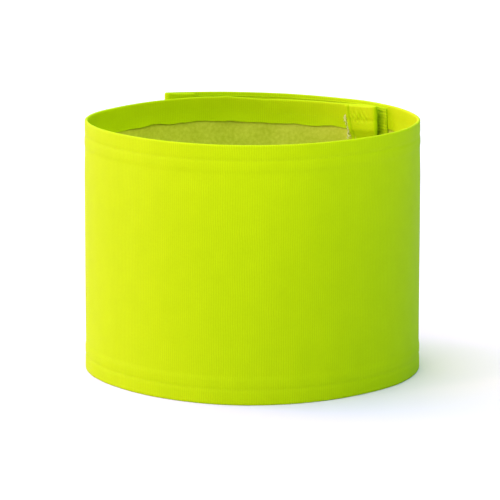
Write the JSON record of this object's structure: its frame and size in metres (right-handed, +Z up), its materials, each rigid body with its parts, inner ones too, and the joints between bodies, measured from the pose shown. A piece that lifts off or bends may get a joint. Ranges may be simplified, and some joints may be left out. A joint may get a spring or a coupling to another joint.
{
  "type": "hook-and-loop armband",
  "caption": "Hi-vis woven armband: a hemmed strip of bright cloth that wraps round an arm or sleeve and closes with hook and loop tape.",
  "frame": {"origin": "middle of the footprint, on the surface that the bottom hem stands on", "axes": "+Z up along the band's axis, front at -Y, hook and loop closure at the back, +X to the right seen from the front"},
  "size_m": [0.1332, 0.1344, 0.1],
  "materials": {
    "band_cloth": "fluorescent yellow-green woven polyester, fine upright rib, slight sheen, duller coated back",
    "sewing_thread": "spun polyester sewing thread in the cloth's colour",
    "loop_tape": "brushed nylon loop pile in fine crosswise rows",
    "hook_tape": "woven nylon tape with cut monofilament hooks in rows"
  },
  "bodies": {
    "front": {"cloth_front": "band_cloth", "top_hem_thread_front": "sewing_thread", "bottom_hem_thread_front": "sewing_thread"},
    "right_1": {"cloth_right_1": "band_cloth", "top_hem_thread_right_1": "sewing_thread", "bottom_hem_thread_right_1": "sewing_thread"},
    "right_2": {"cloth_right_2": "band_cloth", "top_hem_thread_right_2": "sewing_thread", "bottom_hem_thread_right_2": "sewing_thread"},
    "flap_1": {"cloth_flap_1": "band_cloth", "top_hem_thread_flap_1": "sewing_thread", "bottom_hem_thread_flap_1": "sewing_thread", "loop_tape_1": "loop_tape", "loop_tape_upper_thread_1": "sewing_thread", "loop_tape_lower_thread_1": "sewing_thread", "loop_tape_start_thread": "sewing_thread"},
    "flap_2": {"cloth_flap_2": "band_cloth", "top_hem_thread_flap_2": "sewing_thread", "bottom_hem_thread_flap_2": "sewing_thread", "loop_tape_2": "loop_tape", "loop_tape_upper_thread_2": "sewing_thread", "loop_tape_lower_thread_2": "sewing_thread"},
    "flap_3": {"cloth_flap_3": "band_cloth", "top_hem_thread_flap_3": "sewing_thread", "bottom_hem_thread_flap_3": "sewing_thread", "loop_tape_3": "loop_tape", "loop_tape_upper_thread_3": "sewing_thread", "loop_tape_lower_thread_3": "sewing_thread", "loop_tape_end_thread": "sewing_thread", "outer_end_thread": "sewing_thread"},
    "left_1": {"cloth_left_1": "band_cloth", "top_hem_thread_left_1": "sewing_thread", "bottom_hem_thread_left_1": "sewing_thread"},
    "left_2": {"cloth_left_2": "band_cloth", "top_hem_thread_left_2": "sewing_thread", "bottom_hem_thread_left_2": "sewing_thread"},
    "left_3": {"cloth_left_3": "band_cloth", "top_hem_thread_left_3": "sewing_thread", "bottom_hem_thread_left_3": "sewing_thread"},
    "inner_end": {"cloth_inner_end": "band_cloth", "top_hem_thread_inner_end": "sewing_thread", "bottom_hem_thread_inner_end": "sewing_thread", "hook_tape": "hook_tape", "hook_tape_thread": "sewing_thread", "inner_end_thread": "sewing_thread"}
  },
  "joints": [
    {"name": "band_open", "type": "hinge", "parent": "front", "child": "right_1", "pos_m": [0.03542, -0.05602, 0.05], "axis": [0, 0, -1], "range_deg": [0, 60]},
    {"name": "right_bend", "type": "hinge", "parent": "right_1", "child": "right_2", "pos_m": [0.06373, -0.01538, 0.05], "axis": [0, 0, -1], "range_deg": [0, 60]},
    {"name": "flap_peel", "type": "hinge", "parent": "right_2", "child": "flap_1", "pos_m": [0.05717, 0.03448, 0.05], "axis": [0, 0, -1], "range_deg": [0, 50]},
    {"name": "flap_bend_2", "type": "hinge", "parent": "flap_1", "child": "flap_2", "pos_m": [0.03162, 0.05853, 0.05], "axis": [0, 0, -1], "range_deg": [0, 50]},
    {"name": "flap_bend_3", "type": "hinge", "parent": "flap_2", "child": "flap_3", "pos_m": [-0.00254, 0.06651, 0.05], "axis": [0, 0, -1], "range_deg": [0, 50]},
    {"name": "left_bend_1", "type": "hinge", "parent": "front", "child": "left_1", "pos_m": [-0.03604, -0.05602, 0.05], "axis": [0, 0, 1], "range_deg": [0, 24.5]},
    {"name": "left_bend_2", "type": "hinge", "parent": "left_1", "child": "left_2", "pos_m": [-0.06544, -0.00882, 0.05], "axis": [0, 0, 1], "range_deg": [0, 24.5]},
    {"name": "left_bend_3", "type": "hinge", "parent": "left_2", "child": "left_3", "pos_m": [-0.04695, 0.04295, 0.05], "axis": [0, 0, 1], "range_deg": [0, 24.5]},
    {"name": "inner_end_bend", "type": "hinge", "parent": "left_3", "child": "inner_end", "pos_m": [0.00352, 0.06253, 0.05], "axis": [0, 0, 1], "range_deg": [0, 24.5]}
  ],
  "couplings": [
    {"joint": "right_bend", "follows": "band_open", "ratio": 1},
    {"joint": "flap_bend_2", "follows": "flap_peel", "ratio": 1},
    {"joint": "flap_bend_3", "follows": "flap_peel", "ratio": 1},
    {"joint": "left_bend_1", "follows": "band_open", "ratio": 0.4},
    {"joint": "left_bend_2", "follows": "band_open", "ratio": 0.4},
    {"joint": "left_bend_3", "follows": "band_open", "ratio": 0.4},
    {"joint": "inner_end_bend", "follows": "band_open", "ratio": 0.4}
  ]
}
